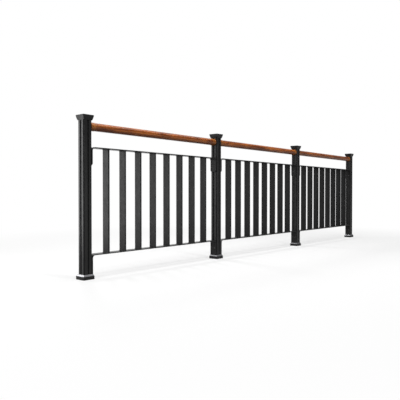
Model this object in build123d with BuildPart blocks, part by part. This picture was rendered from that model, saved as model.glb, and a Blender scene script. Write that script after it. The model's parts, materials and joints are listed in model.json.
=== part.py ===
"""Three bays of a metal balustrade with a round wooden handrail.

Four fluted posts stand on foot plates under square base covers. Between two
posts hangs one infill panel, a row of flat bars set edge-on between a top and
a bottom rail whose ends are bent down into legs against the posts. A round
wooden rail runs above each panel and ends in a turned collar on each post.

X runs along the fence from post 1 to post 4, Y goes through it and Z is up.
The origin is the centre of the underside of post 1's foot plate.
"""
import math
import os

from build123d import *

os.makedirs("parts", exist_ok=True)

# Layout of the run
BAY_COUNT = 3
POST_PITCH = 1465
OVERALL_HEIGHT = 1150

# Post: a square extrusion with a groove down each face and a notch down each corner
POST_SIZE = 72
POST_WALL = 3
GROOVE_WIDTH = 14
GROOVE_DEPTH = 8
NOTCH_SIZE = 8
RIB_EDGE_RADIUS = 2

# Foot plate under the post
FOOT_PLATE_MARGIN = 6
FOOT_PLATE_THICKNESS = 6
FOOT_PLATE_CORNER_RADIUS = 4

# Base cover: a square skirt around the foot plate, with a sloped trim on top
COVER_MARGIN = 9.5
COVER_WALL = 2.5
COVER_HEIGHT = 24
COVER_EDGE_RADIUS = 2
COVER_TOP_CHAMFER = 1
TRIM_HEIGHT = 12
TRIM_TOP_WALL = 2
POST_CLEARANCE = 0.3

# Post cap: a flared moulding that ends in a thin upright band
CAP_OVERHANG = 9
CAP_HEIGHT = 38
CAP_BAND_HEIGHT = 6
CAP_FLARE_SWELL = 1
CAP_EDGE_CHAMFER = 1.5
CAP_PLUG_DEPTH = 20
CAP_PLUG_CLEARANCE = 0.4

# Infill panel
RAIL_DEPTH = 66
RAIL_THICKNESS = 7
RAIL_BEND_RADIUS = 25
BOTTOM_RAIL_HEIGHT = 171
UPPER_LEG_LENGTH = 130
LEG_BEVEL = 13
BAR_COUNT = 8
BAR_DEPTH = 64
BAR_THICKNESS = 13

# Round handrail and its end collars
HANDRAIL_RADIUS = 29
CAP_TO_HANDRAIL = 10.5
HANDRAIL_TO_PANEL = 115.5
COLLAR_RADIUS = 31.5
COLLAR_LENGTH = 42
COLLAR_BASE = 6
COLLAR_LIP_CHAMFER = 1.5
HANDRAIL_CLEARANCE = 0.3

# Worked out from the sizes above
post_count = BAY_COUNT + 1
post_top = OVERALL_HEIGHT - CAP_HEIGHT
handrail_height = post_top - CAP_TO_HANDRAIL - HANDRAIL_RADIUS
top_rail_height = handrail_height - HANDRAIL_RADIUS - HANDRAIL_TO_PANEL
clear_width = POST_PITCH - POST_SIZE
foot_plate_size = POST_SIZE + 2 * FOOT_PLATE_MARGIN
cover_size = POST_SIZE + 2 * COVER_MARGIN
cap_size = POST_SIZE + 2 * CAP_OVERHANG
rib_width = (POST_SIZE - GROOVE_WIDTH) / 2 - NOTCH_SIZE
rib_centre = (GROOVE_WIDTH + rib_width) / 2
cavity_size = POST_SIZE - 2 * (max(GROOVE_DEPTH, NOTCH_SIZE) + POST_WALL)
bar_gap = (clear_width - BAR_COUNT * BAR_THICKNESS) / (BAR_COUNT + 1)
bar_pitch = bar_gap + BAR_THICKNESS


def post_x(number):
    """Centre of a post along the fence; post 1 stands at the origin."""
    return (number - 1) * POST_PITCH


def bay_x(number):
    """Centre of a bay along the fence, halfway between its two posts."""
    return post_x(number) + POST_PITCH / 2


def finish(piece, name):
    """Label one finished piece and write it to its own file."""
    piece.part.label = name
    export_step(piece.part, f"parts/{name}.step")


def make_foot_plate(x):
    """Plain square plate that the post is welded to."""
    with BuildPart() as plate:
        with BuildSketch(Plane(origin=(x, 0, 0))):
            RectangleRounded(foot_plate_size, foot_plate_size, FOOT_PLATE_CORNER_RADIUS)
        extrude(amount=FOOT_PLATE_THICKNESS)
    return plate


def make_post(x):
    """Hollow extrusion: two rounded ribs on each face, an even wall all round."""
    with BuildPart() as post:
        with BuildSketch(Plane(origin=(x, 0, FOOT_PLATE_THICKNESS))):
            Rectangle(POST_SIZE, POST_SIZE)
            with GridLocations(POST_SIZE, POST_SIZE, 2, 2):
                Rectangle(2 * NOTCH_SIZE, 2 * NOTCH_SIZE, mode=Mode.SUBTRACT)
            with PolarLocations(POST_SIZE / 2, 4):
                Rectangle(2 * GROOVE_DEPTH, GROOVE_WIDTH, mode=Mode.SUBTRACT)
            outline = Plane(origin=(x, 0, FOOT_PLATE_THICKNESS))
            rib_corners = [
                corner for corner in vertices()
                if max(abs(outline.to_local_coords(corner).X),
                       abs(outline.to_local_coords(corner).Y)) > POST_SIZE / 2 - 0.01
            ]
            fillet(rib_corners, RIB_EDGE_RADIUS)
            Rectangle(cavity_size, cavity_size, mode=Mode.SUBTRACT)
            with PolarLocations(0, 4):
                with GridLocations(0, 2 * rib_centre, 1, 2):
                    with Locations((POST_SIZE / 4 - POST_WALL / 2, 0)):
                        Rectangle(POST_SIZE / 2 - POST_WALL, rib_width - 2 * POST_WALL, mode=Mode.SUBTRACT)
        extrude(amount=post_top - FOOT_PLATE_THICKNESS)
    return post


def make_base_cover(x):
    """Square skirt that hides the foot plate; open below, with the post's hole on top."""
    post_hole = POST_SIZE + 2 * POST_CLEARANCE
    with BuildPart() as cover:
        with BuildSketch(Plane(origin=(x, 0, 0))):
            Rectangle(cover_size, cover_size)
        extrude(amount=COVER_HEIGHT)
        fillet(cover.edges().filter_by(Axis.Z), COVER_EDGE_RADIUS)
        chamfer(cover.faces().sort_by(Axis.Z)[-1].edges(), COVER_TOP_CHAMFER)
        with BuildSketch(Plane(origin=(x, 0, 0))):
            Rectangle(cover_size - 2 * COVER_WALL, cover_size - 2 * COVER_WALL)
        extrude(amount=COVER_HEIGHT - COVER_WALL, mode=Mode.SUBTRACT)
        with BuildSketch(Plane(origin=(x, 0, 0))):
            Rectangle(post_hole, post_hole)
        extrude(amount=COVER_HEIGHT, mode=Mode.SUBTRACT)
    return cover


def make_base_trim(x):
    """Bright sloped ring that closes the step from the skirt to the post."""
    post_hole = POST_SIZE + 2 * POST_CLEARANCE
    trim_foot = cover_size - 2 * COVER_TOP_CHAMFER
    trim_top = post_hole + 2 * TRIM_TOP_WALL
    trim_slope = math.degrees(math.atan2(trim_foot - trim_top, 2 * TRIM_HEIGHT))
    with BuildPart() as trim:
        with BuildSketch(Plane(origin=(x, 0, COVER_HEIGHT))):
            Rectangle(trim_foot, trim_foot)
        extrude(amount=TRIM_HEIGHT, taper=trim_slope)
        with BuildSketch(Plane(origin=(x, 0, COVER_HEIGHT))):
            Rectangle(post_hole, post_hole)
        extrude(amount=TRIM_HEIGHT, mode=Mode.SUBTRACT)
    return trim


def cap_side(x, side):
    """One side of the cap in elevation: swollen flare, then an upright band."""
    flare_height = CAP_HEIGHT - CAP_BAND_HEIGHT
    foot = (x + side * POST_SIZE / 2, post_top)
    swell = (x + side * ((POST_SIZE + CAP_OVERHANG) / 2 + CAP_FLARE_SWELL), post_top + flare_height / 2)
    shoulder = (x + side * cap_size / 2, post_top + flare_height)
    top = (x + side * cap_size / 2, OVERALL_HEIGHT)
    ThreePointArc(foot, swell, shoulder)
    Line(shoulder, top)
    return foot, top


def make_post_cap(x):
    """Flared cap, the same moulding mitred round all four sides, over a plug in the post."""
    plug_size = cavity_size - 2 * CAP_PLUG_CLEARANCE
    with BuildPart() as cap:
        for plane, centre, mode in ((Plane.XZ, x, Mode.ADD), (Plane.YZ.offset(x), 0, Mode.INTERSECT)):
            with BuildSketch(plane):
                with BuildLine():
                    foot_left, top_left = cap_side(centre, -1)
                    foot_right, top_right = cap_side(centre, 1)
                    Line(foot_left, foot_right)
                    Line(top_left, top_right)
                make_face()
            extrude(amount=cap_size, both=True, mode=mode)
        chamfer(cap.faces().sort_by(Axis.Z)[-1].edges(), CAP_EDGE_CHAMFER)
        with BuildSketch(Plane(origin=(x, 0, post_top))):
            Rectangle(plug_size, plug_size)
        extrude(amount=-CAP_PLUG_DEPTH)
    return cap


def bent_bar(x, rail_top, leg_foot):
    """Outline of one flat bar bent down at both ends: a long rail between two legs."""
    half_width = clear_width / 2
    outer = FilletPolyline(
        (x - half_width, leg_foot),
        (x - half_width, rail_top),
        (x + half_width, rail_top),
        (x + half_width, leg_foot),
        radius=RAIL_BEND_RADIUS,
    )
    inner = FilletPolyline(
        (x - half_width + RAIL_THICKNESS, leg_foot),
        (x - half_width + RAIL_THICKNESS, rail_top - RAIL_THICKNESS),
        (x + half_width - RAIL_THICKNESS, rail_top - RAIL_THICKNESS),
        (x + half_width - RAIL_THICKNESS, leg_foot),
        radius=RAIL_BEND_RADIUS - RAIL_THICKNESS,
    )
    Line(outer @ 0, inner @ 0)
    Line(outer @ 1, inner @ 1)


def make_infill_panel(x):
    """Two bent rails and the bars between them, welded into one frame."""
    upper_leg_foot = top_rail_height - UPPER_LEG_LENGTH
    lower_leg_foot = COVER_HEIGHT + TRIM_HEIGHT
    bar_length = top_rail_height - RAIL_THICKNESS - BOTTOM_RAIL_HEIGHT
    with BuildPart() as panel:
        with BuildSketch(Plane.XZ):
            with BuildLine():
                bent_bar(x, top_rail_height, upper_leg_foot)
            make_face()
            with BuildLine():
                bent_bar(x, BOTTOM_RAIL_HEIGHT, lower_leg_foot)
            make_face()
        extrude(amount=RAIL_DEPTH / 2, both=True)
        leg_corners = [
            edge for edge in panel.edges().filter_by(Axis.X)
            if abs(edge.center().Z - upper_leg_foot) < RAIL_THICKNESS / 10
        ]
        chamfer(leg_corners, LEG_BEVEL)
        with BuildSketch(Plane.XY.offset(BOTTOM_RAIL_HEIGHT)):
            with Locations((x, 0)):
                with GridLocations(bar_pitch, 0, BAR_COUNT, 1):
                    Rectangle(BAR_THICKNESS, BAR_DEPTH)
        extrude(amount=bar_length)
    return panel


def make_collar(post_face_x, direction):
    """Turned cup that holds the end of the wooden rail against a post's side."""
    with BuildPart() as collar:
        with BuildSketch(Plane(origin=(post_face_x, 0, handrail_height), z_dir=(direction, 0, 0))):
            Circle(COLLAR_RADIUS)
        extrude(amount=COLLAR_LENGTH)
        lip = collar.faces().sort_by(Axis.X, reverse=direction < 0)[-1]
        chamfer(lip.edges(), COLLAR_LIP_CHAMFER)
        socket_start = post_face_x + direction * COLLAR_BASE
        with BuildSketch(Plane(origin=(socket_start, 0, handrail_height), z_dir=(direction, 0, 0))):
            Circle(HANDRAIL_RADIUS + HANDRAIL_CLEARANCE)
        extrude(amount=COLLAR_LENGTH, mode=Mode.SUBTRACT)
    return collar


def make_handrail(x):
    """Plain round wooden rail, its ends seated in the two collars."""
    length = clear_width - 2 * COLLAR_BASE
    with BuildPart() as rail:
        with BuildSketch(Plane(origin=(x - length / 2, 0, handrail_height), z_dir=(1, 0, 0))):
            Circle(HANDRAIL_RADIUS)
        extrude(amount=length)
    return rail


for number in range(1, post_count + 1):
    finish(make_foot_plate(post_x(number)), f"foot_plate_{number}")
    finish(make_post(post_x(number)), f"post_{number}")
    finish(make_base_cover(post_x(number)), f"base_cover_{number}")
    finish(make_base_trim(post_x(number)), f"base_trim_{number}")
    finish(make_post_cap(post_x(number)), f"post_cap_{number}")

for number in range(1, BAY_COUNT + 1):
    finish(make_infill_panel(bay_x(number)), f"infill_panel_{number}")
    finish(make_handrail(bay_x(number)), f"handrail_{number}")
    finish(make_collar(bay_x(number) - clear_width / 2, 1), f"collar_{number}_left")
    finish(make_collar(bay_x(number) + clear_width / 2, -1), f"collar_{number}_right")
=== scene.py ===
# %% [markdown]
# A run of garden railing: four dark fluted posts, three panels of flat bars set edge-on, and a
# round wooden handrail. The solids come from the frame at their real size. This lesson gives
# them their finish, and makes the rounded and turned pieces again as fine smooth surfaces,
# because a solid's own mesh is flat triangles and a highlight shows each one. It also adds
# the weld beads and the screws.

# %% Load the frame
import json
import math

import bpy
import numpy as np
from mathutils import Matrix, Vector


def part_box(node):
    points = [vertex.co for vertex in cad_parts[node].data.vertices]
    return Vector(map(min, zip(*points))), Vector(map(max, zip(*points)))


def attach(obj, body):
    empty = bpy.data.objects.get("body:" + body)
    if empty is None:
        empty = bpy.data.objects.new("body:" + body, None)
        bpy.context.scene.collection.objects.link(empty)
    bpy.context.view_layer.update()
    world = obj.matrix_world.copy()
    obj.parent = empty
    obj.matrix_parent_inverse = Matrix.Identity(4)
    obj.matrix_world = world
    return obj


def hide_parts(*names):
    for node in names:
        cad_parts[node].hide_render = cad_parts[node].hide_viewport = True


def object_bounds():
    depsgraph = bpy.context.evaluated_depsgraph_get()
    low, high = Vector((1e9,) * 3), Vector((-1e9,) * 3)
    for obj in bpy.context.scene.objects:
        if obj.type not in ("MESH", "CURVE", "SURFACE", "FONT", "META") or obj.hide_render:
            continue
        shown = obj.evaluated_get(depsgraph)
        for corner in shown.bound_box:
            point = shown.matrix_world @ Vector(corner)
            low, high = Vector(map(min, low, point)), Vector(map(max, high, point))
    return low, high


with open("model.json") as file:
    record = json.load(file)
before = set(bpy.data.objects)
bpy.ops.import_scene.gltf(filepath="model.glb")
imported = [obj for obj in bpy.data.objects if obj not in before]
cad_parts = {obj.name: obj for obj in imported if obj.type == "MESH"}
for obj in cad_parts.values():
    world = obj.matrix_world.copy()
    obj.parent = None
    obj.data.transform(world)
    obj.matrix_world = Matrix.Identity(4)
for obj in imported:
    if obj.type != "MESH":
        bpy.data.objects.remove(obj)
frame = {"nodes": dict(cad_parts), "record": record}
cad_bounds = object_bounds()
MM = 0.001
POSTS = (1, 2, 3, 4)
BAYS = (1, 2, 3)
print("solids:", len(frame["nodes"]), "bounds:", [[round(v, 3) for v in corner] for corner in cad_bounds])

# %% [markdown]
# The camera stands where the picture was taken from: beyond the left end of the run, about
# 0.6 m up and almost level. Its place, heading and lens were solved from the straight edges in
# the picture, so the far posts shrink at the right rate. The heading is measured from straight
# through the fence towards its far end.

# %% Camera
CAMERA_PLACE = Vector((-2.077, -2.843, 0.601))
CAMERA_HEADING = math.radians(49.36)
CAMERA_TILT = math.radians(-0.76)
CAMERA_LENS_MM = 44.07


def make_camera():
    """A level camera that looks along its heading, tipped by its tilt."""
    data = bpy.data.cameras.new("camera")
    data.lens = CAMERA_LENS_MM
    data.sensor_width = 36.0
    data.clip_end = 200.0
    camera = bpy.data.objects.new("camera", data)
    camera.location = CAMERA_PLACE
    camera.rotation_euler = (math.pi / 2 + CAMERA_TILT, 0.0, -CAMERA_HEADING)
    bpy.context.scene.collection.objects.link(camera)
    bpy.context.scene.camera = camera
    return camera


camera = make_camera()
bpy.context.scene.view_settings.view_transform = "Standard"
print("camera at", tuple(round(v, 3) for v in camera.location), "lens", CAMERA_LENS_MM, "mm")

# %% [markdown]
# A black coat has almost no colour of its own, so what it mirrors is what is seen. All the
# bars' left faces mirror one spot, the camera's own reflection behind the fence, and in the
# picture they are clearly lighter than the front faces. So a large soft lamp stands on that
# spot, helped by one at the left end, and a low strip in front gives the front faces their
# grey. Two steep lamps, front and back, leave two faint shadow lines on the floor, and a long
# one overhead lights the rail from above. The camera sees a white world and a pale floor, and
# so does gloss that looks towards the backdrop. All other rays meet a soft grey world and a
# dim floor, because the undersides are dark in the picture.

# %% World, floor and lamps
WORLD_SEEN = 1.0
WORLD_LIGHT = 0.27
BACKDROP_FROM = (-0.1, 0.35)
FLOOR_GLOW_NEAR = 0.50
FLOOR_GLOW_FAR = 1.0
FLOOR_FADE = (1.0, 4.5)
FLOOR_SEEN = (0.655, 0.655, 0.655, 1.0)
FLOOR_DIM = (0.10, 0.10, 0.10, 1.0)
FLOOR_REACH = 60.0


def add_node(tree, kind, **values):
    """One shader node, with its properties set by name."""
    node = tree.nodes.new(kind)
    for key, value in values.items():
        setattr(node, key, value)
    return node


def mirrored_or_through(tree, path):
    """1 for a ray that has just been mirrored or has come through glass, else 0."""
    either = add_node(tree, "ShaderNodeMath", operation="MAXIMUM")
    tree.links.new(path.outputs["Is Glossy Ray"], either.inputs[0])
    tree.links.new(path.outputs["Is Transmission Ray"], either.inputs[1])
    return either.outputs[0]


def make_world():
    """White to the camera, and to gloss that faces the backdrop; a soft level to all it lights."""
    world = bpy.data.worlds.new("studio")
    bpy.context.scene.world = world
    world.use_nodes = True
    tree = world.node_tree
    tree.nodes.clear()
    path = add_node(tree, "ShaderNodeLightPath")
    where = add_node(tree, "ShaderNodeTexCoord")
    split = add_node(tree, "ShaderNodeSeparateXYZ")
    behind = add_node(tree, "ShaderNodeMapRange", interpolation_type="SMOOTHSTEP")
    behind.inputs["From Min"].default_value, behind.inputs["From Max"].default_value = BACKDROP_FROM
    backdrop = add_node(tree, "ShaderNodeMath", operation="MULTIPLY")
    white = add_node(tree, "ShaderNodeMath", operation="MAXIMUM")
    strength = add_node(tree, "ShaderNodeMapRange")
    strength.inputs["To Min"].default_value = WORLD_LIGHT
    strength.inputs["To Max"].default_value = WORLD_SEEN
    background = add_node(tree, "ShaderNodeBackground")
    background.inputs["Color"].default_value = (1.0, 1.0, 1.0, 1.0)
    output = add_node(tree, "ShaderNodeOutputWorld")
    tree.links.new(where.outputs["Generated"], split.inputs[0])
    tree.links.new(split.outputs["Y"], behind.inputs["Value"])
    tree.links.new(behind.outputs["Result"], backdrop.inputs[0])
    tree.links.new(mirrored_or_through(tree, path), backdrop.inputs[1])
    tree.links.new(path.outputs["Is Camera Ray"], white.inputs[0])
    tree.links.new(backdrop.outputs[0], white.inputs[1])
    tree.links.new(white.outputs[0], strength.inputs["Value"])
    tree.links.new(strength.outputs["Result"], background.inputs["Strength"])
    tree.links.new(background.outputs[0], output.inputs["Surface"])


def make_floor(middle):
    """A wide pale floor that glows more with distance, so that it melts into the white."""
    reach = FLOOR_REACH
    corners = [(-reach, -reach, 0), (reach, -reach, 0), (reach, reach, 0), (-reach, reach, 0)]
    mesh = bpy.data.meshes.new("floor")
    mesh.from_pydata(corners, [], [(0, 1, 2, 3)])
    floor = bpy.data.objects.new("floor", mesh)
    bpy.context.scene.collection.objects.link(floor)
    material = bpy.data.materials.new("pale_floor")
    material.use_nodes = True
    tree = material.node_tree
    tree.nodes.clear()
    path = add_node(tree, "ShaderNodeLightPath")
    where = add_node(tree, "ShaderNodeTexCoord")
    away = add_node(tree, "ShaderNodeVectorMath", operation="DISTANCE")
    away.inputs[1].default_value = (middle, 0.0, 0.0)
    share = add_node(tree, "ShaderNodeMapRange", interpolation_type="SMOOTHSTEP")
    share.inputs["From Min"].default_value, share.inputs["From Max"].default_value = FLOOR_FADE
    share.inputs["To Min"].default_value = FLOOR_GLOW_NEAR
    share.inputs["To Max"].default_value = FLOOR_GLOW_FAR
    glow = add_node(tree, "ShaderNodeEmission")
    lit = add_node(tree, "ShaderNodeBsdfDiffuse")
    lit.inputs["Color"].default_value = FLOOR_SEEN
    dim = add_node(tree, "ShaderNodeBsdfDiffuse")
    dim.inputs["Color"].default_value = FLOOR_DIM
    seen = add_node(tree, "ShaderNodeMixShader")
    choice = add_node(tree, "ShaderNodeMixShader")
    output = add_node(tree, "ShaderNodeOutputMaterial")
    tree.links.new(where.outputs["Object"], away.inputs[0])
    tree.links.new(away.outputs["Value"], share.inputs["Value"])
    tree.links.new(share.outputs["Result"], seen.inputs["Fac"])
    tree.links.new(lit.outputs[0], seen.inputs[1])
    tree.links.new(glow.outputs[0], seen.inputs[2])
    shown = add_node(tree, "ShaderNodeMath", operation="MAXIMUM")
    tree.links.new(path.outputs["Is Camera Ray"], shown.inputs[0])
    tree.links.new(mirrored_or_through(tree, path), shown.inputs[1])
    tree.links.new(shown.outputs[0], choice.inputs["Fac"])
    tree.links.new(dim.outputs[0], choice.inputs[1])
    tree.links.new(seen.outputs[0], choice.inputs[2])
    tree.links.new(choice.outputs[0], output.inputs["Surface"])
    mesh.materials.append(material)
    return floor


def make_lamp(name, place, target, size, watts):
    """An area lamp of the given width and height at a place, turned to face a target."""
    data = bpy.data.lights.new(name, "AREA")
    data.shape = "RECTANGLE"
    data.size, data.size_y = size
    data.energy = watts
    lamp = bpy.data.objects.new(name, data)
    lamp.location = place
    lamp.rotation_euler = (Vector(target) - Vector(place)).to_track_quat("-Z", "Y").to_euler()
    bpy.context.scene.collection.objects.link(lamp)
    return lamp


middle = (cad_bounds[0][0] + cad_bounds[1][0]) / 2
make_world()
make_floor(middle)
lamps = [make_lamp(*row) for row in (
    # name, place, target, size in metres, watts
    ("mirrored_softbox", (-1.15, 1.4, 0.80), (0.3, 0.0, 0.6), (1.0, 1.5), 23.0),
    ("left_softbox", (-3.0, -0.4, 1.3), (0.6, 0.0, 0.6), (2.2, 2.2), 60.0),
    ("front_softbox", (0.6, -3.4, 4.4), (middle - 0.8, 0.0, 0.3), (1.0, 1.0), 108.0),
    ("front_strip", (3.3, -3.1, 0.60), (2.0, 0.0, 0.6), (3.6, 1.1), 11.0),
    ("back_softbox", (middle, 3.4, 4.4), (middle, 0.0, 0.3), (1.0, 1.0), 150.0),
    ("overhead_softbox", (1.8, -0.5, 4.0), (1.8, 0.0, 0.5), (5.5, 1.6), 128.0))]
print("lamps:", [lamp.name for lamp in lamps])

# %% [markdown]
# Every finish needs small irregularities, and two effects serve several of them. The first is
# edge wear: the Bevel node's rounded normal differs from the flat one only near an edge, and
# the size of that difference, broken up by noise, marks where a coat is thin. The second is
# fine streaks, noise stretched along one direction, which serves extrusion lines, brushing
# and wood grain alike. Each is one node group with named sockets.

# %% Shared effects


def new_group(name, inputs, outputs):
    """An empty shader node group with the named sockets, given as (name, socket type, default)."""
    group = bpy.data.node_groups.new(name, "ShaderNodeTree")
    for socket_name, kind, default in inputs:
        socket = group.interface.new_socket(socket_name, in_out="INPUT", socket_type=kind)
        socket.default_value = default
    for socket_name, kind in outputs:
        group.interface.new_socket(socket_name, in_out="OUTPUT", socket_type=kind)
    return group, add_node(group, "NodeGroupInput"), add_node(group, "NodeGroupOutput")


def make_edge_wear():
    """Mask = (1 - bevelled normal . flat normal) x gain, broken up by noise and clipped to 0..1."""
    group, entry, leave = new_group(
        "edge_wear",
        [("Width", "NodeSocketFloat", 0.0012), ("Gain", "NodeSocketFloat", 6.0),
         ("Patch Scale", "NodeSocketFloat", 60.0)],
        [("Mask", "NodeSocketFloat")])
    bevel = add_node(group, "ShaderNodeBevel", samples=4)
    flat = add_node(group, "ShaderNodeNewGeometry")
    dot = add_node(group, "ShaderNodeVectorMath", operation="DOT_PRODUCT")
    away = add_node(group, "ShaderNodeMath", operation="SUBTRACT")
    away.inputs[0].default_value = 1.0
    gain = add_node(group, "ShaderNodeMath", operation="MULTIPLY")
    where = add_node(group, "ShaderNodeTexCoord")
    patches = add_node(group, "ShaderNodeTexNoise")
    patches.inputs["Detail"].default_value = 4.0
    broken = add_node(group, "ShaderNodeMath", operation="MULTIPLY", use_clamp=True)
    link = group.links.new
    link(entry.outputs["Width"], bevel.inputs["Radius"])
    link(bevel.outputs["Normal"], dot.inputs[0])
    link(flat.outputs["True Normal"], dot.inputs[1])
    link(dot.outputs["Value"], away.inputs[1])
    link(away.outputs[0], gain.inputs[0])
    link(entry.outputs["Gain"], gain.inputs[1])
    link(where.outputs["Object"], patches.inputs["Vector"])
    link(entry.outputs["Patch Scale"], patches.inputs["Scale"])
    link(gain.outputs[0], broken.inputs[0])
    link(patches.outputs["Fac"], broken.inputs[1])
    link(broken.outputs[0], leave.inputs["Mask"])
    return group


def make_streaks():
    """Noise on Object coordinates, each axis multiplied by its own density (per metre)."""
    group, entry, leave = new_group(
        "streaks",
        [("Density", "NodeSocketVector", (3.0, 300.0, 300.0)), ("Detail", "NodeSocketFloat", 4.0),
         ("Waver", "NodeSocketFloat", 0.0)],
        [("Value", "NodeSocketFloat")])
    where = add_node(group, "ShaderNodeTexCoord")
    spread = add_node(group, "ShaderNodeVectorMath", operation="MULTIPLY")
    noise = add_node(group, "ShaderNodeTexNoise")
    noise.inputs["Scale"].default_value = 1.0
    link = group.links.new
    link(where.outputs["Object"], spread.inputs[0])
    link(entry.outputs["Density"], spread.inputs[1])
    link(spread.outputs[0], noise.inputs["Vector"])
    link(entry.outputs["Detail"], noise.inputs["Detail"])
    link(entry.outputs["Waver"], noise.inputs["Distortion"])
    link(noise.outputs["Fac"], leave.inputs["Value"])
    return group


edge_wear = make_edge_wear()
streaks = make_streaks()
print("effects:", edge_wear.name, streaks.name)

# %% [markdown]
# A material here always has the same frame: a Principled shader, its output, a few shared
# effects, and mixes that turn an effect into colour. Short helpers keep each finish readable:
# one places a group with its values, one gives plain noise, one maps a value to a range, one
# blends two colours, and one turns a value into a small bump.

# %% Helpers for finishes


def new_finish(name):
    """An empty material with a Principled shader; returns the material, its tree and the shader."""
    material = bpy.data.materials.new(name)
    material.use_nodes = True
    return material, material.node_tree, material.node_tree.nodes["Principled BSDF"]


def place_group(tree, group, **values):
    """One use of a shared effect with its own values; underscores in names stand for spaces."""
    node = add_node(tree, "ShaderNodeGroup", node_tree=group)
    for key, value in values.items():
        node.inputs[key.replace("_", " ")].default_value = value
    return node


def noise_value(tree, scale, detail, roughness=0.5):
    """Plain noise on Object coordinates."""
    where = add_node(tree, "ShaderNodeTexCoord")
    noise = add_node(tree, "ShaderNodeTexNoise")
    noise.inputs["Scale"].default_value = scale
    noise.inputs["Detail"].default_value = detail
    noise.inputs["Roughness"].default_value = roughness
    tree.links.new(where.outputs["Object"], noise.inputs["Vector"])
    return noise.outputs["Fac"]


def to_range(tree, value, low, high, from_low=0.0, from_high=1.0):
    """The value moved from one range to another, clipped at both ends."""
    node = add_node(tree, "ShaderNodeMapRange")
    node.inputs["From Min"].default_value = from_low
    node.inputs["From Max"].default_value = from_high
    node.inputs["To Min"].default_value = low
    node.inputs["To Max"].default_value = high
    tree.links.new(value, node.inputs["Value"])
    return node.outputs["Result"]


def blend_colours(tree, factor, first, second):
    """Mix of two colours, each a tuple or the output of another node."""
    node = add_node(tree, "ShaderNodeMix", data_type="RGBA")
    tree.links.new(factor, node.inputs["Factor"])
    for socket, colour in ((node.inputs["A"], first), (node.inputs["B"], second)):
        for candidate in [s for s in node.inputs if s.name == socket.name and s.type == "RGBA"]:
            if isinstance(colour, tuple):
                candidate.default_value = (*colour, 1.0)
            else:
                tree.links.new(colour, candidate)
    return [s for s in node.outputs if s.type == "RGBA"][0]


def add_bump(tree, onto, height, distance, strength):
    """A bump of the given height in metres on the normal of a shader or of another bump."""
    bump = add_node(tree, "ShaderNodeBump")
    bump.inputs["Distance"].default_value = distance
    bump.inputs["Strength"].default_value = strength
    tree.links.new(height, bump.inputs["Height"])
    tree.links.new(bump.outputs["Normal"], onto.inputs["Normal"])
    return bump


# %% [markdown]
# The metal is powder coated: a satin black film with a faint orange peel, some specks of dust
# near the ground and a slightly thinner, lighter film along sharp edges. The black is not
# quite black, and its roughness drifts a little, so that the white studio shows in it as a soft
# uneven sheen. The posts are drawn tubes, so theirs has fine lines that run up them too.

# %% Powder coat
COAT_DARK = (0.0105, 0.0105, 0.0108)
COAT_LIGHT = (0.0150, 0.0150, 0.0152)
COAT_EDGE = (0.040, 0.040, 0.040)
COAT_DUST = (0.11, 0.105, 0.095)
DUST_HEIGHT = 0.16
DRAW_LINES = (700.0, 700.0, 1.5)


def dust_mask(tree, top):
    """1 at the floor fading to 0 at the given height, broken up by noise."""
    where = add_node(tree, "ShaderNodeTexCoord")
    split = add_node(tree, "ShaderNodeSeparateXYZ")
    tree.links.new(where.outputs["Object"], split.inputs[0])
    low = to_range(tree, split.outputs["Z"], 1.0, 0.0, 0.0, top)
    both = add_node(tree, "ShaderNodeMath", operation="MULTIPLY")
    tree.links.new(low, both.inputs[0])
    tree.links.new(to_range(tree, noise_value(tree, 220.0, 5.0, 0.7), 0.0, 1.0, 0.5, 0.75), both.inputs[1])
    return both.outputs[0]


def make_powder_coat(name, gloss, line_density=None):
    """Satin black film; with line_density, fine draw lines run along the axis of least density."""
    material, tree, shader = new_finish(name)
    patchy = noise_value(tree, 9.0, 4.0)
    colour = blend_colours(tree, to_range(tree, patchy, 0.0, 1.0, 0.35, 0.65), COAT_DARK, COAT_LIGHT)
    wear = place_group(tree, edge_wear, Width=0.0010, Gain=1.6, Patch_Scale=45.0)
    colour = blend_colours(tree, to_range(tree, wear.outputs["Mask"], 0.0, 0.55), colour, COAT_EDGE)
    colour = blend_colours(tree, to_range(tree, dust_mask(tree, DUST_HEIGHT), 0.0, 0.35), colour, COAT_DUST)
    tree.links.new(colour, shader.inputs["Base Color"])
    smudge = noise_value(tree, 26.0, 5.0, 0.6)
    tree.links.new(to_range(tree, smudge, 0.27, 0.40, 0.3, 0.7), shader.inputs["Roughness"])
    shader.inputs["Specular IOR Level"].default_value = gloss
    peel = noise_value(tree, 850.0, 2.0)
    bump = add_bump(tree, shader, peel, 0.00005, 0.6)
    if line_density is not None:
        lines = place_group(tree, streaks, Density=line_density, Detail=3.0)
        add_bump(tree, bump, lines.outputs["Value"], 0.00004, 0.5)
    return material


powder_coat = make_powder_coat("powder_coat", 0.11)
post_coat = make_powder_coat("post_powder_coat", 0.18, line_density=DRAW_LINES)
print("coats:", powder_coat.name, post_coat.name)

# %% [markdown]
# The handrail is a dark red-brown hardwood under clear varnish. Its grain runs along the rail:
# growth rings are nested tubes far wider than the rail, bent by slow noise, so their cut
# surface shows long wavering bands. A broad figure lights and darkens them in patches a hand
# long, and on top come fine pores, short dark dashes along the rail. The coordinates run on
# along the whole fence, so each of the three lengths has its own figure. The collars are the
# same turned wood in a lighter tan.

# %% Varnished wood
WOOD_DARK = (0.085, 0.017, 0.003)
WOOD_MID = (0.285, 0.064, 0.010)
WOOD_LIGHT = (0.460, 0.138, 0.024)
TAN_DARK = (0.150, 0.042, 0.005)
TAN_MID = (0.300, 0.090, 0.010)
TAN_LIGHT = (0.420, 0.150, 0.030)
FIGURE_DENSITY = (7.0, 26.0, 26.0)
RAIL_GRAIN = (3.0, 160.0, 160.0)
COLLAR_GRAIN = (30.0, 220.0, 220.0)
PORES_PER_GRAIN = 4.0
RING_AXIS = (0.0, 0.05, -0.98)


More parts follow.
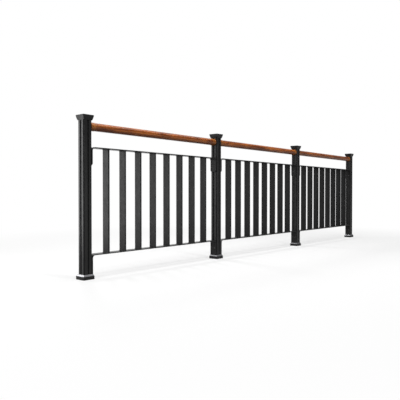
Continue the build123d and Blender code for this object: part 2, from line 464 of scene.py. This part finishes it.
def ring_value(tree, spacing, stretch, waver):
    """Growth rings: sine bands around an axis beside the rail, wavering slowly along it."""
    where = add_node(tree, "ShaderNodeTexCoord")
    squeeze = add_node(tree, "ShaderNodeMapping")
    squeeze.inputs["Location"].default_value = RING_AXIS
    squeeze.inputs["Scale"].default_value = (stretch, 1.0, 1.0)
    rings = add_node(tree, "ShaderNodeTexWave",
                     wave_type="RINGS", rings_direction="X", wave_profile="SAW")
    rings.inputs["Scale"].default_value = spacing
    rings.inputs["Distortion"].default_value = waver
    rings.inputs["Detail"].default_value = 3.0
    rings.inputs["Detail Scale"].default_value = 1.2
    tree.links.new(where.outputs["Object"], squeeze.inputs["Vector"])
    tree.links.new(squeeze.outputs["Vector"], rings.inputs["Vector"])
    return rings.outputs["Fac"]


def make_varnished_wood(name, dark, mid, light, grain_density):
    """Rings and figure give broad bands, streaks give grain and pores, a clear coat the gloss."""
    material, tree, shader = new_finish(name)
    rings = ring_value(tree, 14.0, 0.12, 5.0)
    grain = place_group(tree, streaks, Density=grain_density, Detail=6.0, Waver=0.3).outputs["Value"]
    pore_density = tuple(PORES_PER_GRAIN * v for v in grain_density)
    pores = place_group(tree, streaks, Density=pore_density, Detail=2.0).outputs["Value"]
    figure = place_group(tree, streaks, Density=FIGURE_DENSITY, Detail=3.0, Waver=0.2).outputs["Value"]
    colour = blend_colours(tree, to_range(tree, rings, 0.0, 1.0, 0.1, 0.95), mid, light)
    colour = blend_colours(tree, to_range(tree, figure, 0.0, 0.9, 0.50, 0.62), colour, light)
    colour = blend_colours(tree, to_range(tree, figure, 0.65, 0.0, 0.37, 0.49), colour, dark)
    colour = blend_colours(tree, to_range(tree, grain, 0.85, 0.0, 0.36, 0.60), colour, dark)
    colour = blend_colours(tree, to_range(tree, pores, 0.0, 0.6, 0.60, 0.72), colour, dark)
    tree.links.new(colour, shader.inputs["Base Color"])
    tree.links.new(to_range(tree, grain, 0.30, 0.44, 0.3, 0.7), shader.inputs["Roughness"])
    shader.inputs["Coat Weight"].default_value = 0.26
    shader.inputs["Coat Roughness"].default_value = 0.24
    shader.inputs["Specular IOR Level"].default_value = 0.06
    add_bump(tree, shader, pores, 0.00012, 0.35)
    return material


rail_wood = make_varnished_wood("rail_wood", WOOD_DARK, WOOD_MID, WOOD_LIGHT, RAIL_GRAIN)
collar_wood = make_varnished_wood("collar_wood", TAN_DARK, TAN_MID, TAN_LIGHT, COLLAR_GRAIN)
print("woods:", rail_wood.name, collar_wood.name)

# %% [markdown]
# The narrow sloped ring on each base cover is the one bright spot on the metalwork. It is
# brushed aluminium: fine scratches run level around it, and the scratches spread its gloss.
# The screws are blackened steel, a patchy dark oxide that is worn through along the edges.

# %% Bare metals
TRIM_COLOUR = (0.32, 0.32, 0.333)
TRIM_SHADE = (0.24, 0.24, 0.25)
TRIM_SCRATCHES = (14.0, 14.0, 2600.0)
OXIDE_DARK = (0.020, 0.020, 0.022)
OXIDE_LIGHT = (0.045, 0.044, 0.043)
BARE_STEEL = (0.22, 0.21, 0.20)


def make_brushed_trim():
    """Bright metal with level scratches: dense across height, long along the ring."""
    material, tree, shader = new_finish("brushed_trim")
    scratches = place_group(tree, streaks, Density=TRIM_SCRATCHES, Detail=3.0).outputs["Value"]
    colour = blend_colours(tree, to_range(tree, scratches, 0.0, 1.0, 0.3, 0.7), TRIM_SHADE, TRIM_COLOUR)
    tree.links.new(colour, shader.inputs["Base Color"])
    shader.inputs["Metallic"].default_value = 1.0
    tree.links.new(to_range(tree, scratches, 0.34, 0.50, 0.3, 0.7), shader.inputs["Roughness"])
    add_bump(tree, shader, scratches, 0.00003, 0.6)
    return material


def make_screw_metal():
    """Blackened steel: a dark metal whose oxide is patchy, with bare metal at its edges."""
    material, tree, shader = new_finish("blackened_steel")
    patches = noise_value(tree, 420.0, 4.0, 0.6)
    colour = blend_colours(tree, to_range(tree, patches, 0.0, 1.0, 0.35, 0.65), OXIDE_DARK, OXIDE_LIGHT)
    wear = place_group(tree, edge_wear, Width=0.0005, Gain=3.0, Patch_Scale=900.0)
    colour = blend_colours(tree, to_range(tree, wear.outputs["Mask"], 0.0, 0.6), colour, BARE_STEEL)
    tree.links.new(colour, shader.inputs["Base Color"])
    shader.inputs["Metallic"].default_value = 0.8
    tree.links.new(to_range(tree, patches, 0.30, 0.48, 0.3, 0.7), shader.inputs["Roughness"])
    add_bump(tree, shader, patches, 0.00003, 0.4)
    return material


trim_metal = make_brushed_trim()
screw_metal = make_screw_metal()
print("metals:", trim_metal.name, screw_metal.name)

# %% [markdown]
# Every solid gets the finish of its slot: its material slots are emptied and filled again. The
# foot plates' shape is already right, so they keep their own mesh. The cells after this one
# make a finer piece for each of the others.

# %% Finish the solids
FINISH_BY_SLOT = {
    "dark_paint": powder_coat, "bright_trim": trim_metal,
    "wood": rail_wood, "collar_wood": collar_wood}


def dress(node, material):
    """Put one material on a frame solid."""
    materials = frame["nodes"][node].data.materials
    materials.clear()
    materials.append(material)


for subpart in frame["record"]["subparts"]:
    dress(subpart["node"], FINISH_BY_SLOT[subpart["material_slot"]])
for number in POSTS:
    dress(f"post_{number}", post_coat)

# %% [markdown]
# New surfaces are grids of points worked out as whole arrays. One helper rounds the corners of
# an outline with tangent arcs. The next ones turn grids of points into closed meshes, from one
# grid or from several shells. The last finishes a piece: it turns the faces outwards and sets
# the material, the shading and what the piece rides on. A sharp edge is kept wherever two
# faces meet at more than the given angle.

# %% Grid helpers
SMOOTH_UP_TO = math.radians(32.0)
SHOULDER = 0.1 * MM


def rounded_outline(points, radius, steps):
    """Closed outline in which each corner becomes a tangent arc.

    With unit vectors a and b along the two sides and t the angle between them, the arc starts
    r / tan(t/2) from the corner, its centre lies r / sin(t/2) along the bisector, and points
    between its ends are the two end radii weighted by sines. A shoulder point a hair beyond
    each end of the arc keeps the flat side's shading flat.
    """
    corners = np.asarray(points, float)
    radii = np.broadcast_to(np.asarray(radius, float), len(corners))[:, None]
    back = np.roll(corners, 1, axis=0) - corners
    ahead = np.roll(corners, -1, axis=0) - corners
    back /= np.linalg.norm(back, axis=1, keepdims=True)
    ahead /= np.linalg.norm(ahead, axis=1, keepdims=True)
    half = np.arccos(np.clip((back * ahead).sum(1, keepdims=True), -1, 1)) / 2
    bisector = back + ahead
    bisector /= np.linalg.norm(bisector, axis=1, keepdims=True)
    centre = corners + bisector * radii / np.sin(half)
    start = corners + back * radii / np.tan(half) - centre
    end = corners + ahead * radii / np.tan(half) - centre
    sweep = math.pi - 2 * half
    t = np.linspace(0.0, 1.0, steps)[None, :, None]
    sweep = sweep[:, :, None]
    arcs = (np.sin((1 - t) * sweep) * start[:, None] + np.sin(t * sweep) * end[:, None]) / np.sin(sweep)
    before = start[:, None] + back[:, None] * SHOULDER
    after = end[:, None] + ahead[:, None] * SHOULDER
    return (centre[:, None] + np.concatenate([before, arcs, after], axis=1)).reshape(-1, 2)


def grid_quads(rows, columns, closed_rows):
    """Quad (i, j) joins row i to row i + 1 of a grid whose rows are closed rings.

    With closed rows the last row joins the first.
    """
    row = np.arange(rows if closed_rows else rows - 1)[:, None]
    column = np.arange(columns)[None, :]
    next_row = (row + 1) % rows
    next_column = (column + 1) % columns
    return np.stack([row * columns + column, row * columns + next_column,
                     next_row * columns + next_column, next_row * columns + column], axis=-1).reshape(-1, 4)


def strip_quads(rows, columns):
    """Both ends of a grid of even, convex rings, closed by quads from side to side."""
    k = np.arange(columns // 2 - 1)
    first = np.stack([k, columns - 1 - k, columns - 2 - k, k + 1], 1)
    last = (first + (rows - 1) * columns)[:, ::-1]
    return np.concatenate([first, last])


def new_mesh(name, points, faces):
    """A mesh from an array of points (n, 3) and a list of faces."""
    mesh = bpy.data.meshes.new(name)
    mesh.from_pydata(points.tolist(), [], faces)
    mesh.update()
    return mesh


def grid_mesh(name, grid, closed_rows=False):
    """A mesh from one grid of points (rows, columns, 3), with a flat face on each open end."""
    rows, columns = grid.shape[:2]
    ring = np.arange(columns)
    ends = [] if closed_rows else [ring[::-1].tolist(), (ring + (rows - 1) * columns).tolist()]
    return new_mesh(name, grid.reshape(-1, 3), grid_quads(rows, columns, closed_rows).tolist() + ends)


def joined_mesh(name, shells):
    """One mesh from several shells, each a pair of grid (rows, columns, 3) and quads (n, 4)."""
    sizes = [grid.shape[0] * grid.shape[1] for grid, quads in shells]
    starts = np.cumsum([0] + sizes[:-1])
    points = np.concatenate([grid.reshape(-1, 3) for grid, quads in shells])
    faces = np.concatenate([quads + start for (grid, quads), start in zip(shells, starts)])
    return new_mesh(name, points, faces.tolist())


def end_capped(grid):
    """A shell: the grid with its quads, both ends closed."""
    rows, columns = grid.shape[:2]
    return grid, np.concatenate([grid_quads(rows, columns, False), strip_quads(rows, columns)])


def signed_volume(mesh):
    """Volume by the divergence theorem: positive when the faces point outwards."""
    mesh.calc_loop_triangles()
    corners = np.empty(len(mesh.loop_triangles) * 3, np.int32)
    mesh.loop_triangles.foreach_get("vertices", corners)
    places = np.empty(len(mesh.vertices) * 3)
    mesh.vertices.foreach_get("co", places)
    a, b, c = places.reshape(-1, 3)[corners.reshape(-1, 3)].transpose(1, 0, 2)
    return float((a * np.cross(b, c)).sum() / 6)


def finish_piece(mesh, material, replaced=()):
    """Material, smooth shading with true edges, outward faces, and the solids it replaces hidden."""
    if signed_volume(mesh) < 0:
        mesh.flip_normals()
    mesh.materials.append(material)
    mesh.shade_smooth()
    mesh.set_sharp_from_angle(angle=SMOOTH_UP_TO)
    piece = bpy.data.objects.new(mesh.name, mesh)
    bpy.context.scene.collection.objects.link(piece)
    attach(piece, "root")
    if replaced:
        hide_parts(*replaced)
    return piece


# %% [markdown]
# Each post is a fluted tube. Every face has two raised ribs with a groove between them, and the
# corners are notched, so seen from the side the post is a row of light and dark stripes. Its
# section is drawn once as the outline of one face, turned four times, rounded, and carried
# straight up.

# %% Fluted posts
NOTCH = 8 * MM
GROOVE_WIDTH = 14 * MM
GROOVE_DEPTH = 8 * MM
RIB_ROUNDING = 2 * MM
ROOT_ROUNDING = 1 * MM
RIB_STEPS = 7


def post_section(half):
    """Outline of the section: one face's seven corners, turned by a quarter four times."""
    g = GROOVE_WIDTH / 2
    face = np.array([
        (half, -(half - NOTCH)), (half, -g), (half - GROOVE_DEPTH, -g),
        (half - GROOVE_DEPTH, g), (half, g), (half, half - NOTCH), (half - NOTCH, half - NOTCH)])
    radii = [RIB_ROUNDING] * 2 + [ROOT_ROUNDING] * 2 + [RIB_ROUNDING] * 2 + [ROOT_ROUNDING]
    turns = [np.array(((math.cos(a), math.sin(a)), (-math.sin(a), math.cos(a))))
             for a in np.arange(4) * math.pi / 2]
    return rounded_outline(np.concatenate([face @ turn for turn in turns]), radii * 4, RIB_STEPS)


def post_plan(number):
    """Middle of a post in plan, and half its width."""
    low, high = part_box(f"post_{number}")
    return ((low.x + high.x) / 2, (low.y + high.y) / 2), (high.x - low.x) / 2


def make_post(number):
    """The section at the post's foot and top, joined by straight walls."""
    low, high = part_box(f"post_{number}")
    centre, half = post_plan(number)
    section = post_section(half) + centre
    levels = np.array([low.z, high.z])
    grid = np.empty((len(levels), len(section), 3))
    grid[..., :2] = section[None]
    grid[..., 2] = levels[:, None]
    mesh = grid_mesh(f"fluted_post_{number}", grid)
    return finish_piece(mesh, post_coat, [f"post_{number}"])


posts = [make_post(number) for number in POSTS]
print("posts:", len(posts), "points a section:", len(posts[0].data.vertices) // 2)

# %% [markdown]
# Caps, base covers and trims are all one idea: a moulding that runs round a square and is
# mitred at its corners. The moulding is an outline of (distance from the centre, height), and
# each of its points is carried round a small-cornered square of that size.

# %% Square mouldings
MITRE_ROUNDING = 1.2 * MM
MITRE_SHARE = 0.8
MITRE_STEPS = 4


def square_moulding(name, centre, profile, closed):
    """Grid whose row i is a rounded square ring at profile[i] = (half width, height).

    The ring of the smallest half width is rounded once, by no more than a share of it. Wider
    rings move each corner's points outwards along the diagonal, so the corner radius stays the
    same all the way.
    """
    profile = np.asarray(profile, float)
    base = profile[:, 0].min()
    corners = np.array(((1, -1), (1, 1), (-1, 1), (-1, -1)), float)
    ring = rounded_outline(corners * base, min(MITRE_ROUNDING, base * MITRE_SHARE), MITRE_STEPS)
    outward = np.repeat(corners, len(ring) // 4, axis=0)
    grid = np.empty((len(profile), len(ring), 3))
    grid[..., :2] = ring + outward * (profile[:, 0] - base)[:, None, None] + np.asarray(centre)
    grid[..., 2] = profile[:, 1][:, None]
    return grid_mesh(name, grid, closed_rows=closed)


# %% [markdown]
# The cap sits on the post like a capital: its sides swell outward in a shallow curve and end
# in a thin upright band, and the top is pitched a hair so that rain runs off.

# %% Post caps
CAP_BAND = 6 * MM
CAP_SWELL = 1 * MM
CAP_ROUNDING = 1.2 * MM
CAP_PITCH = 1.2 * MM
CAP_SEAT = 6 * MM
CAP_PEAK = 2 * MM


def make_cap(number):
    """Underside, swollen flare, band with rounded edges, and a slightly pitched top."""
    low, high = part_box(f"post_cap_{number}")
    centre, half_post = post_plan(number)
    half_cap = (high.x - low.x) / 2
    foot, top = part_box(f"post_{number}")[1].z, high.z
    shoulder = top - CAP_BAND
    t = np.linspace(0, 1, 9)
    flare = np.stack([half_post + (half_cap - half_post) * t + 4 * CAP_SWELL * t * (1 - t),
                      foot + (shoulder - foot) * t], axis=1)
    flare[:, 0] = np.minimum(flare[:, 0], half_cap)
    edge = np.linspace(0, math.pi / 2, 5)
    band = np.stack([half_cap - CAP_ROUNDING * (1 - np.cos(edge)),
                     top - CAP_PITCH - CAP_ROUNDING * (1 - np.sin(edge))], axis=1)
    profile = np.concatenate([[(half_post - CAP_SEAT, foot)], flare, band, [(CAP_PEAK, top)]])
    mesh = square_moulding(f"moulded_cap_{number}", centre, profile, closed=False)
    return finish_piece(mesh, powder_coat, [f"post_cap_{number}"])


caps = [make_cap(number) for number in POSTS]

# %% [markdown]
# The base cover is a shallow folded skirt that drops over the foot plate. The bright trim
# rests on it and slopes up to the post. Both are open in the middle, so their outline is
# closed: out and up on the show side, in and down where the post passes.

# %% Base covers and trims
SKIRT_WALL = 2.5 * MM
SKIRT_ROUNDINGS = [0.4 * MM, 1.6 * MM, 0.4 * MM, 0.4 * MM, 0.8 * MM, 0.4 * MM]
TRIM_WALL = 2 * MM
TRIM_ROUNDINGS = [0.7 * MM, 0.5 * MM, 0.5 * MM, 0.3 * MM]
FOLD_STEPS = 4
POST_CLEARANCE = 0.3 * MM


def make_cover(number):
    """Skirt with a rounded shoulder, hollow below."""
    low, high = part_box(f"base_cover_{number}")
    centre, half_post = post_plan(number)
    half = (high.x - low.x) / 2
    hole = half_post + POST_CLEARANCE
    corners = [(half, low.z), (half, high.z), (hole, high.z), (hole, high.z - SKIRT_WALL),
               (half - SKIRT_WALL, high.z - SKIRT_WALL), (half - SKIRT_WALL, low.z)]
    outline = rounded_outline(corners, SKIRT_ROUNDINGS, FOLD_STEPS)
    mesh = square_moulding(f"skirt_{number}", centre, outline, closed=True)
    return finish_piece(mesh, powder_coat, [f"base_cover_{number}"])


def make_trim(number):
    """Sloped ring from the skirt's shoulder up to the post."""
    low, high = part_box(f"base_trim_{number}")
    centre, half_post = post_plan(number)
    half = (high.x - low.x) / 2
    hole = half_post + POST_CLEARANCE
    corners = [(half, low.z), (hole + TRIM_WALL, high.z), (hole, high.z), (hole, low.z)]
    outline = rounded_outline(corners, TRIM_ROUNDINGS, FOLD_STEPS)
    mesh = square_moulding(f"silver_trim_{number}", centre, outline, closed=True)
    return finish_piece(mesh, trim_metal, [f"base_trim_{number}"])


covers = [make_cover(number) for number in POSTS]
trims = [make_trim(number) for number in POSTS]
print("covers and trims:", len(covers), len(trims))

# %% [markdown]
# The handrail and its collars are turned work, so each is one outline of (distance along the
# rail, radius) spun about the rail's axis. The collar is a shallow cup: a thick bead against
# the post, a fine groove, then a barrel whose lip rounds over onto the wood.

# %% Turned pieces
TURN_STEPS = 72
RAIL_EASE = 2 * MM


def turned(name, axis_yz, profile, closed):
    """Grid whose row i is a circle at profile[i] = (place along X, radius) about a level axis."""
    profile = np.asarray(profile, float)
    angle = np.linspace(0, 2 * math.pi, TURN_STEPS, endpoint=False)
    grid = np.empty((len(profile), TURN_STEPS, 3))
    grid[..., 0] = profile[:, 0][:, None]
    grid[..., 1] = axis_yz[0] + profile[:, 1][:, None] * np.cos(angle)
    grid[..., 2] = axis_yz[1] + profile[:, 1][:, None] * np.sin(angle)
    return grid_mesh(name, grid, closed_rows=closed)


def rail_axis(bay):
    """Level axis of a bay's rail: its Y and Z."""
    low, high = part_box(f"handrail_{bay}")
    return (low.y + high.y) / 2, (low.z + high.z) / 2


def make_rail(bay):
    """A plain round rail with its ends eased."""
    low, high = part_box(f"handrail_{bay}")
    radius = (high.z - low.z) / 2
    profile = [(low.x, radius - RAIL_EASE), (low.x + RAIL_EASE, radius),
               (high.x - RAIL_EASE, radius), (high.x, radius - RAIL_EASE)]
    mesh = turned(f"wooden_rail_{bay}", rail_axis(bay), profile, closed=False)
    return finish_piece(mesh, rail_wood, [f"handrail_{bay}"])


COLLAR_BEAD = 9 * MM
COLLAR_GROOVE = 1.5 * MM
COLLAR_SINK = 1.4 * MM
COLLAR_STEP = 0.6 * MM
COLLAR_TAPER = 0.4 * MM
COLLAR_BASE = 6 * MM
COLLAR_HOLE = 4 * MM
COLLAR_ROUNDINGS = np.array([1.0, 1.6, 0.3, 0.4, 0.8, 0.3, 0.4, 0.4, 0.4]) * MM
COLLAR_STEPS = 5
RAIL_CLEARANCE = 0.3 * MM


def make_collar(bay, side):
    """Cup outline from the post outwards; the right-hand one runs the other way along X."""
    node = f"collar_{bay}_{side}"
    low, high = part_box(node)
    rail_low, rail_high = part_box(f"handrail_{bay}")
    radius = (high.z - low.z) / 2
    bore = (rail_high.z - rail_low.z) / 2 + RAIL_CLEARANCE
    length = high.x - low.x
    barrel = radius - COLLAR_STEP
    corners = [
        (0, radius), (COLLAR_BEAD, radius), (COLLAR_BEAD + COLLAR_GROOVE / 2, radius - COLLAR_SINK),
        (COLLAR_BEAD + COLLAR_GROOVE, barrel), (length, barrel - COLLAR_TAPER), (length, bore),
        (COLLAR_BASE, bore), (COLLAR_BASE, COLLAR_HOLE), (0, COLLAR_HOLE)]
    outline = rounded_outline(corners, COLLAR_ROUNDINGS, COLLAR_STEPS)
    start, direction = (low.x, 1) if side == "left" else (high.x, -1)
    profile = np.stack([start + direction * outline[:, 0], outline[:, 1]], axis=1)
    mesh = turned(f"turned_collar_{bay}_{side}", rail_axis(bay), profile, closed=True)
    return finish_piece(mesh, collar_wood, [node])


rails = [make_rail(bay) for bay in BAYS]
collars = [make_collar(bay, side) for bay in BAYS for side in ("left", "right")]
print("rails and collars:", len(rails), len(collars))

# %% [markdown]
# A panel is welded from rolled flat bar, whose edges are never sharp. Its section is given by
# its half thickness h at each place y across the bar: flat in the middle, and on the last
# millimetre h = t/2 - r + sqrt(r^2 - d^2), a quarter circle. Each rail is that section carried
# along a path in the panel's plane, up one leg, round a bend, across, and down the other leg.
# The feet of the upper legs are cut at 45 degrees at both edges.

# %% Flat-bar panels
BAR_EDGE = 0.9 * MM
RAIL_THICKNESS = 7 * MM
RAIL_DEPTH = 66 * MM
RAIL_BEND = 25 * MM
UPPER_LEG = 130 * MM
LOWER_RAIL_TOP = 171 * MM
LEG_BEVEL = 13 * MM
BAR_SIZE = (13 * MM, 64 * MM)
BAR_COUNT = 8
BEND_STEPS = 10
EDGE_STEPS = 5


def flat_bar_section(thickness, depth, marks=()):
    """Ring of (offset across the thickness, y): one side in rising y, the other in falling y."""
    straight = depth / 2 - BAR_EDGE
    edge = straight + BAR_EDGE * np.sin(np.linspace(0, math.pi / 2, EDGE_STEPS))
    inner = straight - SHOULDER
    y = np.unique(np.round(np.concatenate([-edge, [-inner], marks, [inner], edge]), 9))
    run = np.clip(np.abs(y) - straight, 0, BAR_EDGE)
    h = thickness / 2 - BAR_EDGE + np.sqrt(np.maximum(BAR_EDGE ** 2 - run ** 2, 0))
    return np.concatenate([np.stack([h, y], 1), np.stack([-h, y], 1)[::-1]])


def rail_shell(x_low, x_high, top, foot, bevel):
    """A bar bent down at both ends into legs; its path keeps to the middle of the thickness."""
    t = RAIL_THICKNESS / 2
    radius = RAIL_BEND - t
    flat = RAIL_DEPTH / 2 - LEG_BEVEL
    section = flat_bar_section(RAIL_THICKNESS, RAIL_DEPTH, (-flat, flat))
    turn = np.linspace(math.pi, math.pi / 2, BEND_STEPS)
    left_x = np.concatenate([[x_low + t], x_low + RAIL_BEND + radius * np.cos(turn)])
    left_z = np.concatenate([[foot], top - RAIL_BEND + radius * np.sin(turn)])
    angle = np.concatenate([[math.pi], turn])
    path_x = np.concatenate([left_x, (x_low + x_high - left_x)[::-1]])
    path_z = np.concatenate([left_z, left_z[::-1]])
    normal_x = np.concatenate([np.cos(angle), -np.cos(angle)[::-1]])
    normal_z = np.concatenate([np.sin(angle), np.sin(angle)[::-1]])
    grid = np.empty((len(path_x), len(section), 3))
    grid[..., 0] = path_x[:, None] + normal_x[:, None] * section[:, 0]
    grid[..., 1] = section[:, 1]
    grid[..., 2] = path_z[:, None] + normal_z[:, None] * section[:, 0]
    if bevel:
        grid[[0, -1], :, 2] += np.maximum(np.abs(section[:, 1]) - flat, 0)
    return end_capped(grid[::-1])


def bar_places(bay):
    """X of each bar's middle: equal gaps between the bars and to the legs' outer faces."""
    low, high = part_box(f"infill_panel_{bay}")
    gap = (high.x - low.x - BAR_COUNT * BAR_SIZE[0]) / (BAR_COUNT + 1)
    return low.x + gap + BAR_SIZE[0] / 2 + np.arange(BAR_COUNT) * (gap + BAR_SIZE[0])


def make_panel(bay):
    """Two rails and eight upright bars, each its own closed shell in one piece."""
    low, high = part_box(f"infill_panel_{bay}")
    shells = [rail_shell(low.x, high.x, high.z, high.z - UPPER_LEG, True),
              rail_shell(low.x, high.x, LOWER_RAIL_TOP, low.z, False)]
    section = flat_bar_section(*BAR_SIZE)
    levels = np.array([LOWER_RAIL_TOP, high.z - RAIL_THICKNESS])
    for x in bar_places(bay):
        grid = np.empty((2, len(section), 3))
        grid[..., 0] = x + section[:, 0]
        grid[..., 1] = section[:, 1]
        grid[..., 2] = levels[:, None]
        shells.append(end_capped(grid))
    mesh = joined_mesh(f"flat_bar_panel_{bay}", shells)
    return finish_piece(mesh, powder_coat, [f"infill_panel_{bay}"])


panels = [make_panel(bay) for bay in BAYS]
print("panels:", len(panels), "points each:", len(panels[0].data.vertices))

# %% [markdown]
# Each bar is welded all round at both ends. A bead is a quarter circle swept round the bar,
# from the rail's face to the bar's. Its size swells and shrinks along the seam, one swell for
# each pause of the torch, and the swells lean a little because the pool cools from behind:
# size = w x (1 + a x cos(2 pi (s + lean x angle) / pitch)), with s the length along the seam.
# Its hidden side lies a hair inside the bar and the rail, so no gap shows.

# %% Weld beads
BEAD = 2.6 * MM
BEAD_SWELL = 0.10
BEAD_PITCH = 4.0 * MM
BEAD_LEAN = 1.2 * MM
BEAD_POINTS = 140
BEAD_STEPS = 6
BEAD_INSIDE_BAR = 0.4 * MM
BEAD_INSIDE_RAIL = 0.2 * MM


def seam_line():
    """Evenly spaced points round the bar, their outward directions and the length so far."""
    half_x, half_y = BAR_SIZE[0] / 2, BAR_SIZE[1] / 2
    corners = [(half_x, -half_y), (half_x, half_y), (-half_x, half_y), (-half_x, -half_y)]
    line = rounded_outline(corners, BAR_EDGE, BEAD_STEPS)
    step = np.linalg.norm(np.roll(line, -1, axis=0) - line, axis=1)
    length = np.concatenate([[0.0], np.cumsum(step)])
    s = np.linspace(0, length[-1], BEAD_POINTS, endpoint=False)
    closed = np.concatenate([line, line[:1]])
    points = np.stack([np.interp(s, length, closed[:, k]) for k in (0, 1)], axis=1)
    along = np.roll(points, -1, axis=0) - np.roll(points, 1, axis=0)
    outward = np.stack([along[:, 1], -along[:, 0]], axis=1)
    return points, outward / np.linalg.norm(outward, axis=1, keepdims=True), s, length[-1]


def bead_shell(x, level, direction, seam):
    """One bead round the bar at x, standing up or hanging down from a rail's face."""
    points, outward, s, total = seam
    pitch = total / round(total / BEAD_PITCH)
    angle = np.linspace(0, math.pi / 2, BEAD_STEPS)[:, None]
    size = BEAD * (1 + BEAD_SWELL * np.cos(2 * math.pi * (s + BEAD_LEAN * angle) / pitch))
    reach, rise = size * np.cos(angle), size * np.sin(angle)
    reach = np.concatenate([reach, np.full((1, len(s)), -BEAD_INSIDE_BAR)])
    rise = np.concatenate([rise, np.full((1, len(s)), -BEAD_INSIDE_RAIL)])
    grid = np.empty((*reach.shape, 3))
    grid[..., :2] = points + outward * reach[..., None]
    grid[..., 0] += x
    grid[..., 2] = level + direction * rise
    quads = grid_quads(*grid.shape[:2], True)
    return grid, quads if direction > 0 else quads[:, ::-1]


def make_beads(bay):
    """Sixteen beads of a panel as one piece."""
    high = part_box(f"infill_panel_{bay}")[1]
    seam = seam_line()
    shells = []
    for x in bar_places(bay):
        shells.append(bead_shell(x, LOWER_RAIL_TOP, 1, seam))
        shells.append(bead_shell(x, high.z - RAIL_THICKNESS, -1, seam))
    return finish_piece(joined_mesh(f"weld_beads_{bay}", shells), powder_coat)


beads = [make_beads(bay) for bay in BAYS]
print("weld beads:", len(beads), "points each:", len(beads[0].data.vertices))

# %% [markdown]
# The legs are screwed to the posts' ribs through the flat bar. The screws are button heads: a
# low dome over a washer, with a six-sided socket. The socket's six sides come from one
# formula, radius = r / cos(angle folded into -30..30 degrees), on the rows inside the dome.

# %% Button-head screws
SCREW_ACROSS = 17 * MM
UPPER_SCREWS_BELOW_TOP = 78 * MM
LOWER_SCREWS_ABOVE_FOOT = 65 * MM
SCREW_STEPS = 48
DOME_STEPS = 7
DOME_SWEEP = math.radians(68)
DOME_HEIGHT = 3.0 * MM
DOME_RADIUS = 6.0 * MM
WASHER_RADIUS, WASHER_THICKNESS, WASHER_BEVEL = 8.0 * MM, 1.2 * MM, 0.4 * MM
WASHER_WALL_SHARE = 0.7
SOCKET_RADIUS, SOCKET_DEPTH, SOCKET_FLARE = 2.2 * MM, 1.9 * MM, 1.02
POLE_RADII = (1.0 * MM, 0.3 * MM)


def screw_shell(face_x, direction, y, z):
    """Washer, dome and socket as one outline spun about a level axis, with a small ring at each pole."""
    arc = np.linspace(0, DOME_SWEEP, DOME_STEPS)
    top = WASHER_THICKNESS + DOME_HEIGHT
    floor = top - SOCKET_DEPTH
    out = np.concatenate([[0, 0, WASHER_THICKNESS * WASHER_WALL_SHARE, WASHER_THICKNESS],
                          WASHER_THICKNESS + DOME_HEIGHT * np.sin(arc) / math.sin(DOME_SWEEP),
                          [top, floor, floor]])
    radius = np.concatenate([[POLE_RADII[0], WASHER_RADIUS, WASHER_RADIUS, WASHER_RADIUS - WASHER_BEVEL],
                             DOME_RADIUS * np.cos(arc),
                             [SOCKET_RADIUS * SOCKET_FLARE, SOCKET_RADIUS, POLE_RADII[1]]])
    six = np.concatenate([np.zeros(4 + DOME_STEPS), [1, 1, 0]])[:, None]
    angle = np.linspace(0, 2 * math.pi, SCREW_STEPS, endpoint=False)
    folded = (angle % (math.pi / 3)) - math.pi / 6
    radii = radius[:, None] * (1 + six * (1 / np.cos(folded) - 1))
    grid = np.empty((*radii.shape, 3))
    grid[..., 0] = face_x + direction * out[:, None]
    grid[..., 1] = y + radii * np.cos(angle)
    grid[..., 2] = z + radii * np.sin(angle)
    return end_capped(grid if direction < 0 else grid[::-1])


def make_screws(bay):
    """Two screws on each of a panel's four legs, as one piece."""
    low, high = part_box(f"infill_panel_{bay}")
    shells = [screw_shell(x, direction, y, z)
              for x, direction in ((low.x + RAIL_THICKNESS, 1), (high.x - RAIL_THICKNESS, -1))
              for z in (high.z - UPPER_SCREWS_BELOW_TOP, low.z + LOWER_SCREWS_ABOVE_FOOT)
              for y in (-SCREW_ACROSS, SCREW_ACROSS)]
    return finish_piece(joined_mesh(f"leg_screws_{bay}", shells), screw_metal)


screws = [make_screws(bay) for bay in BAYS]
print("screws:", 8 * len(screws))
